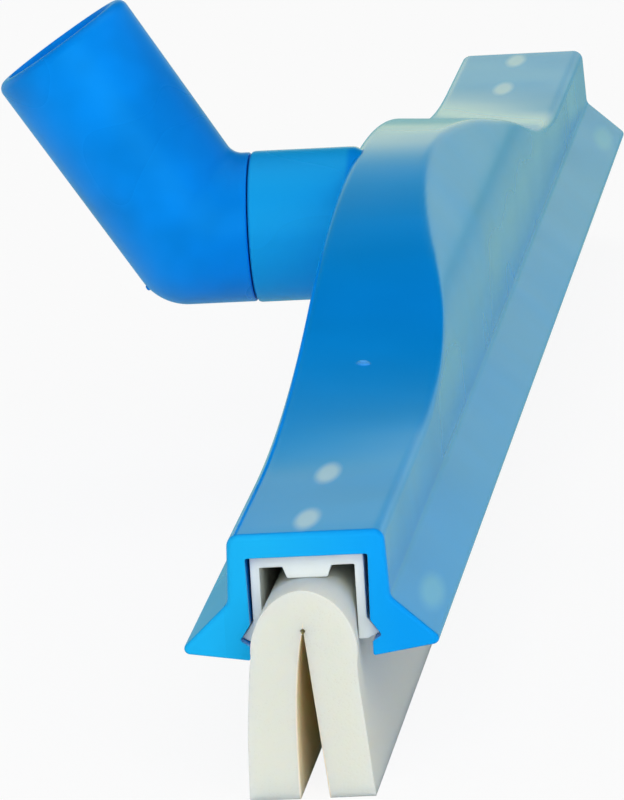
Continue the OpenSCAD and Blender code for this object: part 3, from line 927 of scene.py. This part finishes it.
def rib_nodes(tree, add, given):
    """Fills the object's hollow with evenly spaced ribs."""
    # The row starts half of its length from the middle, and its ribs stand on the floor height
    gaps = add("Math", {0: given["Count"], 1: 1.0}, operation="SUBTRACT")
    reach = add("Math", {0: gaps, 1: given["Pitch"]}, operation="MULTIPLY")
    start = add("Math", {0: reach, 1: -0.5}, operation="MULTIPLY")
    rise = add("Math", {0: given["Height"], 1: 0.5}, operation="MULTIPLY")
    middle = add("Math", {0: given["Floor"], 1: rise}, operation="ADD")
    first = add("CombineXYZ", {"X": start, "Z": middle})
    step = add("CombineXYZ", {"X": given["Pitch"]})
    row = {"Count": given["Count"], "Start Location": first, "Offset": step}
    line = add("GeometryNodeMeshLine", row, mode="OFFSET")
    size = {"X": given["Thickness"], "Y": given["Width"], "Z": given["Height"]}
    plate = add("GeometryNodeMeshCube", {"Size": add("CombineXYZ", size)})
    ribs = add("GeometryNodeInstanceOnPoints", {"Points": line, "Instance": plate})
    solid = add("GeometryNodeRealizeInstances", {"Geometry": ribs})
    hollow = {"Mesh 2": given["Geometry"]}
    trimmed = add("GeometryNodeMeshBoolean", hollow, operation="INTERSECT", solver="MANIFOLD")
    tree.links.new(solid.outputs["Geometry"], trimmed.inputs["Mesh 2"])
    return trimmed


class SQUEEGEE_OT_ribs(bpy.types.Operator):
    """Ribs that stiffen the hollow hump"""

    bl_idname = "squeegee.ribs"
    bl_label = "Ribs in the hump"

    def execute(self, context):
        head, hump = settings().head, settings().hump
        ribs = hollow_solid(head, hump, "hump_ribs")
        grow(
            ribs,
            "Ribs in a hollow",
            rib_nodes,
            bpy.data.materials["moulded blue polypropylene"],
            Count=hump.rib_count,
            Pitch=hump.rib_pitch,
            Thickness=hump.rib_thickness,
            Width=head.top_width,
            Floor=head.under_z + head.channel_height,
            Height=hump.height + head.top_wall,
        )
        smooth(ribs)
        hand_over(ribs, "head", "blue_polypropylene")
        return {"FINISHED"}


# The elbow


class ElbowShape:
    """Places on the elbow: two straight tubes that meet in a bend with filleted sides."""

    def __init__(self, head, neck):
        self.neck = neck
        self.seam = head.top_width / 2 + neck.sleeve_length + neck.seam_gap
        self.bend = self.seam + neck.neck_length
        self.turn = neck.elbow_angle
        self.handle = Vector((0, cos(self.turn), sin(self.turn)))
        self.outside = Vector((0, sin(self.turn), -cos(self.turn)))

    def on_neck(self, across, up, along):
        """A point around the swivel's axis, along it from the head's middle plane."""
        return (across, along, self.neck.axis_z + up)

    def on_handle(self, across, up, along):
        """A point around the socket's axis, along it from the bend."""
        centre = Vector((0, self.bend, self.neck.axis_z)) + self.handle * along
        return tuple(centre - self.outside * up + Vector((across, 0, 0)))

    def bend_path(self, a, steps):
        """Points around the bend on the line at the angle a around the tube, 0 at its top."""
        r = self.neck.elbow_radius
        fillet = self.neck.bend_radius - self.neck.bend_spread * cos(a)
        reach = (fillet + r * cos(a)) * tan(self.turn / 2)
        start = Vector(self.on_neck(r * sin(a), r * cos(a), self.bend - reach))
        # The centre of the fillet lies above the line, on the inner side of the bend
        centre = start + Vector((0, 0, fillet))
        turns = spread(0, self.turn, steps)
        return [centre + Vector((0, fillet * sin(b), -fillet * cos(b))) for b in turns]

    def spigot(self):
        """Profile (along, radius) of the hollow spigot with its grooves, up to the seam's edge."""
        neck, radius, start = self.neck, self.neck.spigot_radius, self.neck.spigot_end
        profile = [
            (self.seam + neck.spigot_past, neck.spigot_hollow),
            (start, neck.spigot_hollow),
            (start, radius - neck.spigot_edge),
            (start + neck.spigot_edge, radius),
        ]
        grooves = (neck.clip_start, neck.clip_floor), (neck.ring_start, neck.ring_floor)
        for place, floor in grooves:
            far = place + neck.groove_width
            profile += [(place, radius), (place, floor), (far, floor), (far, radius)]
        edge = neck.seam_edge
        profile += [(self.seam, radius), (self.seam, neck.elbow_radius - edge - 0.4 * MM)]
        for turn in spread(0, pi / 2, 3):
            along = self.seam + edge * (1 - cos(turn))
            profile.append((along, neck.elbow_radius - edge * (1 - sin(turn))))
        return profile

    def mouth(self, rim):
        """Profile of the mouth, from the start of its round rim into the threaded socket."""
        neck, turns = self.neck, spread(0, pi / 2, 8)[1:]
        edge, end = neck.mouth_edge, neck.handle_length
        wall, floor = neck.socket_radius + neck.thread_depth, end - neck.socket_depth
        return [(rim + edge * sin(a), neck.mouth_radius - edge * (1 - cos(a))) for a in turns] + [
            (end, wall + neck.mouth_chamfer * 0.6),
            (end - neck.mouth_chamfer, wall),
            (floor + neck.socket_plain + 1.5 * MM, wall),
            (floor + neck.socket_plain, neck.socket_radius),
            (floor, neck.socket_radius),
            (floor, neck.socket_radius * 0.5),
        ]


def between_rings(one, other, shares):
    """Rings on the way from one ring of points to another."""
    return [[tuple(Vector(a).lerp(Vector(b), t)) for a, b in zip(one, other)] for t in shares]


class SQUEEGEE_OT_elbow(bpy.types.Operator):
    """Swivel elbow with its spigot and the pole's socket"""

    bl_idname = "squeegee.elbow"
    bl_label = "Swivel elbow"

    def execute(self, context):
        s = settings()
        neck = s.neck
        shape = ElbowShape(s.head, neck)
        steps, bend_steps = 144, 14
        angles = spread(0, 2 * pi, steps)[:-1]

        def ring(place, along, radius):
            return [place(radius * sin(a), radius * cos(a), along) for a in angles]

        rings = [ring(shape.on_neck, *spot) for spot in shape.spigot()]
        # The bend is swept line by line, because its fillets differ around the tube
        paths = [shape.bend_path(a, bend_steps) for a in angles]
        bend = [[tuple(path[k]) for path in paths] for k in range(bend_steps + 1)]
        start = ring(shape.on_neck, shape.seam + neck.seam_edge + 0.3 * MM, neck.elbow_radius)
        rings += between_rings(start, bend[0], (0.0, 0.5)) + bend
        # The handle tube widens towards its mouth
        rim = neck.handle_length - neck.mouth_edge
        end = ring(shape.on_handle, rim, neck.mouth_radius)
        rings += between_rings(bend[-1], end, (0.15, 0.3, 0.45, 0.6, 0.75, 0.9, 1.0))
        rings += [ring(shape.on_handle, *spot) for spot in shape.mouth(rim)]
        blue = moulded_polypropylene("moulded blue elbow plastic", s.finish.elbow_blue, 0.28, 18, 0.12)
        elbow = make_object("swivel_elbow", *loft(rings), blue)
        # The stub that the mould's gate leaves outside the bend, with its foot in the wall
        foot = Vector(shape.on_handle(0, 0.5 * MM - neck.elbow_radius, neck.gate_along))
        foot_r = neck.gate_radius
        stub = [(0, foot_r), (foot_r, 0.75 * foot_r), (foot_r + 0.15 * MM, 0.5 * foot_r)]

        def out_of_bend(across, up, along):
            return tuple(foot + shape.outside * along + shape.handle * up + Vector((across, 0, 0)))

        cut_or_join(elbow, make_object("stub", *turned(stub, 16, out_of_bend)), "UNION")
        smooth(elbow)
        hand_over(elbow, "neck", "blue_polypropylene", "neck_elbow")
        return {"FINISHED"}


def thread_nodes(tree, add, given):
    """Winds a ridge inside a tube, from its mouth down."""
    turns, radius = given["Turns"], given["Radius"]
    rise = add("Math", {0: turns, 1: given["Pitch"]}, operation="MULTIPLY")
    coil = {"Rotations": turns, "Start Radius": radius, "End Radius": radius, "Height": rise}
    path = add("GeometryNodeCurveSpiral", {"Resolution": 64, **coil})
    upright = add("GeometryNodeSetCurveNormal", {"Curve": path}, mode="Z_UP")
    circle = {"Resolution": 10, "Radius": given["Ridge"]}
    profile = add("GeometryNodeCurvePrimitiveCircle", circle, mode="RADIUS")
    swept = {"Curve": upright, "Profile Curve": profile, "Fill Caps": True}
    ridge = add("GeometryNodeCurveToMesh", swept)
    placed = {"Geometry": ridge, "Translation": given["Place"], "Rotation": given["Tilt"]}
    return add("GeometryNodeTransform", placed)


class SQUEEGEE_OT_thread(bpy.types.Operator):
    """Coarse thread in the pole's socket"""

    bl_idname = "squeegee.thread"
    bl_label = "Socket thread"

    def execute(self, context):
        neck = settings().neck
        shape = ElbowShape(settings().head, neck)
        thread = make_object("socket_thread", [(0, 0, 0)], [])
        low = neck.handle_length - neck.thread_start - neck.thread_turns * neck.thread_pitch
        grow(
            thread,
            "Thread in a socket",
            thread_nodes,
            bpy.data.materials["moulded blue elbow plastic"],
            Turns=neck.thread_turns,
            Pitch=neck.thread_pitch,
            Radius=neck.socket_radius + neck.thread_depth,
            Ridge=neck.thread_depth,
            Place=shape.on_handle(0, 0, low),
            Tilt=(shape.turn - pi / 2, 0.0, 0.0),
        )
        smooth(thread, 50)
        hand_over(thread, "neck", "blue_polypropylene")
        return {"FINISHED"}


# The cassette and its foam


class SQUEEGEE_OT_cassette(bpy.types.Operator):
    """Extruded cassette with its middle rib and barbs"""

    bl_idname = "squeegee.cassette"
    bl_label = "Cassette"

    def execute(self, context):
        s = settings()
        c, head = s.cassette, s.head
        low_z, under_z = c.barb_z - head.groove_fall, c.top_z - c.top
        inner = c.half_width - c.wall
        side = [
            (c.rib_low / 2, under_z - c.rib_height, c.edge * 2),
            (c.rib_top / 2, under_z, c.edge),
            (inner, under_z, c.edge),
            (inner, low_z, c.edge),
            (c.half_width, low_z, c.edge),
            (c.barb_half, c.barb_z, c.edge),
            (c.half_width, c.barb_z + head.groove_rise, c.edge * 2),
            (c.half_width, c.top_z, c.edge * 2),
        ]
        corners = side + [(-y, z, r) for y, z, r in reversed(side)]
        outline = [(y + c.side_play, z) for y, z in rounded(corners)]
        cut = c.edge * 0.55
        xs = spread(cut - c.half_length, c.half_length - cut, 12)
        rings = stations_with_ends(lambda x: outline, xs, [cut] * len(outline), cut / 2, 3)
        white = extruded_polypropylene("extruded white polypropylene", s.finish.cassette_white)
        cassette = make_object("cassette_profile", *loft(rings), white)
        smooth(cassette)
        hand_over(cassette, "cassette", "white_polypropylene", "cassette_frame")
        return {"FINISHED"}


class FoamShape:
    """The folded strip's outline, which is pressed under the rib and springs up at its ends."""

    def __init__(self, foam, cassette, head):
        self.foam, self.cassette, self.head = foam, cassette, head

    def outline(self, x):
        """Points (y, z) around the strip at x."""
        f, c = self.foam, self.cassette
        out = min(1, max(0, (abs(x) - c.half_length) / f.free_length))
        free = out * out * (3 - 2 * out)

        def between(pressed, loose):
            return pressed + (loose - pressed) * free

        half = between(f.fold_half, f.free_half)
        height = between(f.fold_height, f.free_height)
        power = between(f.fold_fullness, f.free_fullness)
        arch_z = f.top_z + between(0, f.free_rise) - height
        fold = []
        for y, z in arc(0, 0, 1, 0, pi, 36):
            full = (abs(y) ** power + z**power) ** (-1 / power) if z > 0 else 1
            fold.append((y * full * half, arch_z + z * full * height))
        rear = self.side(half, arch_z, between(0.5, 0.85), f.rear_foot, f.rear_belly, f.rear_hip)
        front = self.side(half, arch_z, between(0.3, 0.85), f.front_foot, f.front_belly, f.front_hip)
        outline = rear + fold[1:-1] + mirrored(front) + self.slit()
        return [(y + c.side_play, z) for y, z in outline]

    def side(self, half, arch_z, share, foot, belly, hip):
        """Outer side of a leaf, from the floor up to the fold."""
        hip_z, throat_z = self.head.under_z, self.cassette.barb_z - self.head.groove_fall
        hip = hip * share + half * (1 - share) if hip > half else hip
        points = [(foot, 0.0), (belly, hip_z / 2), (hip, hip_z - MM)]
        if arch_z > throat_z + MM:
            points.append((half, throat_z + 0.3 * MM))
        points.append((half, arch_z))
        return spline(points, 6)

    def slit(self):
        """Both walls of the slit, from the front leaf's floor edge round to the rear leaf's."""
        f, neck = self.foam, self.foam.slit_neck
        front, rear = [], []
        for t in spread(0, 1, 16)[:-1]:
            front.append((-neck - (f.front_slit - neck) * (1 - t), f.slit_z * t))
            rear.append((neck + (f.rear_slit - neck) * (1 - t**f.slit_bow), f.slit_z * t))
        eye = arc(0, f.slit_z, f.slit_end, radians(250), radians(-70), 10)
        return front + eye + rear[::-1]


def spline(points, steps):
    """A smooth curve through points."""
    p = [Vector(q) for q in points]
    p = [p[0] * 2 - p[1]] + p + [p[-1] * 2 - p[-2]]
    out = []
    for a, b, c, d in zip(p, p[1:], p[2:], p[3:]):
        for t in spread(0, 1, steps)[:-1]:
            q = 2 * b + (c - a) * t + (2 * a - 5 * b + 4 * c - d) * t**2 + (3 * b - a - 3 * c + d) * t**3
            out.append(tuple(0.5 * q))
    out.append(points[-1])
    return out


class SQUEEGEE_OT_foam(bpy.types.Operator):
    """Foam strip, folded over the cassette's rib into two leaves"""

    bl_idname = "squeegee.foam"
    bl_label = "Foam blade"

    def execute(self, context):
        s = settings()
        f, c, finish = s.foam, s.cassette, s.finish
        shape = FoamShape(f, c, s.head)
        edge = 0.05 * MM
        # Closer together where the fold takes its free shape
        xs = spread_both_ways(c.half_length - 2 * MM, f.half_length - edge, 40, 10)
        radii = [edge] * len(shape.outline(0))
        rings = stations_with_ends(shape.outline, xs, radii, edge, 2)
        cream = cellular_rubber("cellular rubber", finish.foam_white, finish.foam_shade, finish.slit_tan)
        foam = make_object("folded_foam", *loft(rings), cream)
        smooth(foam, 40)
        hand_over(foam, "cassette", "cellular_rubber", "foam_blade")
        return {"FINISHED"}


class SQUEEGEE_OT_small_parts(bpy.types.Operator):
    """Finishes of the retaining clip and the friction ring"""

    bl_idname = "squeegee.small_parts"
    bl_label = "Clip and ring"

    def execute(self, context):
        finish = settings().finish
        white = moulded_polypropylene("moulded white clip plastic", finish.clip_white, 0.35)
        # The friction ring is real; its dark blue is painted shade for the seam's gap
        rubber = moulded_rubber("moulded nitrile rubber", finish.ring_blue)
        for name, material in (("retaining_clip", white), ("friction_ring", rubber)):
            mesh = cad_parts[name].data
            mesh.materials.clear()
            mesh.materials.append(material)
        return {"FINISHED"}


# The stage


def white_floor(name, tint, sheen):
    """Matt white paper: it takes a soft shadow, and the camera sees it almost pure white.
    Gloss sees it in the sheen's colour."""
    material, add, _ = new_material(name)
    rays = add("LightPath").outputs
    share = 0.0
    for kind, level in FLOOR_GLOW:
        part = add("Math", {0: rays[kind], 1: level}, operation="MULTIPLY")
        share = add("Math", {0: share, 1: part}, operation="MAXIMUM")
    hue = {"Factor": rays["Is Glossy Ray"], "A": (1, 1, 1, 1), "B": sheen}
    hue = add("Mix", hue, data_type="RGBA")
    paper = add("BsdfDiffuse", {"Color": tint})
    glow = add("Emission", {"Color": hue, "Strength": 1.0})
    both = add("MixShader", {0: share, 1: paper, 2: glow})
    add("OutputMaterial", {"Surface": both})
    return material


def soft_room(name, stage, finish):
    """A world of pale walls that end some 15 degrees up, under a dim ceiling. Gloss sees the far
    wall in the screen's colours, and the camera sees plain white past the floor."""
    world = bpy.data.worlds.new(name)
    world.use_nodes = True
    world.node_tree.nodes.clear()
    add = partial(add_node, world.node_tree)
    axes = add("SeparateXYZ", {"Vector": add("TexCoord").outputs["Generated"]}).outputs
    # How the walls' light changes along an axis: where the change starts and ends, and what it
    # goes from and to. First a bright band near the floor and a dimmer wall that fades out
    # above it, then the shares of both just beyond the blade's line, further round, and behind
    changes = (
        ("Z", 0.1, 0.29, 1.0, 0.0),
        ("Z", 0.1, 0.55, 0.55, stage.sky),
        ("Y", -0.2, -0.02, stage.horizon * 0.62, stage.horizon),
        ("Y", 0.12, 0.28, 1.0, 0.5),
        ("X", -0.2, 0.5, 0.6, 1.0),
    )
    lights = []
    for axis, start, end, low, high in changes:
        ends = {"From Min": start, "From Max": end, "To Min": low, "To Max": high}
        lights.append(add("MapRange", {"Value": axes[axis], **ends}))
    level = add("Math", {0: lights[0], 1: lights[1]}, operation="MAXIMUM")
    for share in lights[2:]:
        level = add("Math", {0: level, 1: share}, operation="MULTIPLY")
    # The far wall turns from cream near the floor to sea green where it fades out
    bright = add("MapRange", {"Value": level, "From Min": 0.1, "From Max": 1.0})
    screen = {"Factor": bright, "A": finish.screen_high, "B": finish.screen_low}
    screen = add("Mix", screen, data_type="RGBA")
    rays = add("LightPath").outputs
    ahead = {"Value": axes["X"], "From Min": 0.2, "From Max": 0.9}
    ahead = add("MapRange", ahead, interpolation_type="SMOOTHSTEP")
    tinted = add("Math", {0: ahead, 1: rays["Is Glossy Ray"]}, operation="MULTIPLY")
    hue = {"Factor": tinted, "A": finish.wall_white, "B": screen}
    hue = add("Mix", hue, data_type="RGBA")
    room = add("Background", {"Color": hue, "Strength": level})
    white = add("Background", {"Color": finish.wall_white, "Strength": PAST_FLOOR})
    seen = add("MixShader", {0: rays["Is Camera Ray"], 1: room, 2: white})
    output = add("OutputWorld", {"Surface": seen})
    output.is_active_output = True
    return world


def add_lamp(name, place, aim, size, power):
    """A soft square lamp at a place, facing another. Gloss doesn't mirror it, because its
    edges would draw bright squares on the plastic."""
    data = bpy.data.lights.new(name, "AREA")
    data.shape = "SQUARE"
    data.size = size
    data.energy = power
    lamp = bpy.data.objects.new(name, data)
    lamp.location = place
    lamp.rotation_euler = (aim - Vector(place)).to_track_quat("-Z", "Y").to_euler()
    lamp.visible_glossy = False
    bpy.context.scene.collection.objects.link(lamp)


def add_camera(stage):
    """The camera, turned by its yaw, pitch and roll."""
    data = bpy.data.cameras.new("camera")
    data.lens = stage.lens
    data.sensor_width = 36
    data.clip_start, data.clip_end = 0.1, 50
    camera = bpy.data.objects.new("camera", data)
    yaw, pitch, roll = stage.yaw, stage.pitch, stage.roll
    view = Vector((cos(pitch) * cos(yaw), cos(pitch) * sin(yaw), -sin(pitch)))
    right = Vector((sin(yaw), -cos(yaw), 0))
    up = right.cross(view)
    right, up = cos(roll) * right - sin(roll) * up, sin(roll) * right + cos(roll) * up
    turn = Matrix((right, up, -view)).transposed().to_4x4()
    camera.matrix_world = Matrix.Translation((stage.camera_x, stage.camera_y, stage.camera_z)) @ turn
    bpy.context.scene.collection.objects.link(camera)
    return camera


class SQUEEGEE_OT_stage(bpy.types.Operator):
    """Pale floor, soft light and the camera"""

    bl_idname = "squeegee.stage"
    bl_label = "Stage"

    def execute(self, context):
        stage, finish = settings().stage, settings().finish
        half = stage.floor_size / 2
        corners = [(-half, -half, 0), (half, -half, 0), (half, half, 0), (-half, half, 0)]
        paper = white_floor("white paper", finish.floor_white, finish.floor_sheen)
        make_object("floor", corners, [(0, 1, 2, 3)], paper)
        scene = context.scene
        scene.world = soft_room("soft room", stage, finish)
        for name, place, size in LAMPS:
            add_lamp(name, place, Vector((0, 0, stage.aim_z)), size, getattr(stage, name))
        scene.camera = add_camera(stage)
        scene.view_settings.view_transform = "Standard"
        return {"FINISHED"}


# The add-on


class SQUEEGEE_PT_panel(bpy.types.Panel):
    """The squeegee's pieces and sizes in the sidebar"""

    bl_idname = "SQUEEGEE_PT_panel"
    bl_label = "Squeegee"
    bl_space_type = "VIEW_3D"
    bl_region_type = "UI"
    bl_category = "Squeegee"

    def draw(self, context):
        for operator in OPERATORS:
            self.layout.operator(operator.bl_idname)
        for group in SqueegeeSettings.__annotations__:
            box = self.layout.box()
            box.label(text=group.title())
            values = getattr(settings(), group)
            for name in values.__annotations__:
                box.prop(values, name)


OPERATORS = (
    SQUEEGEE_OT_stage,
    SQUEEGEE_OT_head,
    SQUEEGEE_OT_ribs,
    SQUEEGEE_OT_elbow,
    SQUEEGEE_OT_thread,
    SQUEEGEE_OT_cassette,
    SQUEEGEE_OT_foam,
    SQUEEGEE_OT_small_parts,
)
GROUPS = (HeadSizes, HumpSizes, NeckSizes, CassetteSizes, FoamSizes, Finishes, StageSizes, SqueegeeSettings)


def register():
    for cls in (*GROUPS, *OPERATORS, SQUEEGEE_PT_panel):
        bpy.utils.register_class(cls)
    bpy.types.Scene.squeegee = PointerProperty(type=SqueegeeSettings)


def unregister():
    del bpy.types.Scene.squeegee
    for cls in reversed((*GROUPS, *OPERATORS, SQUEEGEE_PT_panel)):
        bpy.utils.unregister_class(cls)


def main():
    """Registers the add-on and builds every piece."""
    register()
    for operator in OPERATORS:
        group, name = operator.bl_idname.split(".")
        getattr(getattr(bpy.ops, group), name)()
    bpy.context.view_layer.update()


if __name__ == "__main__":
    main()
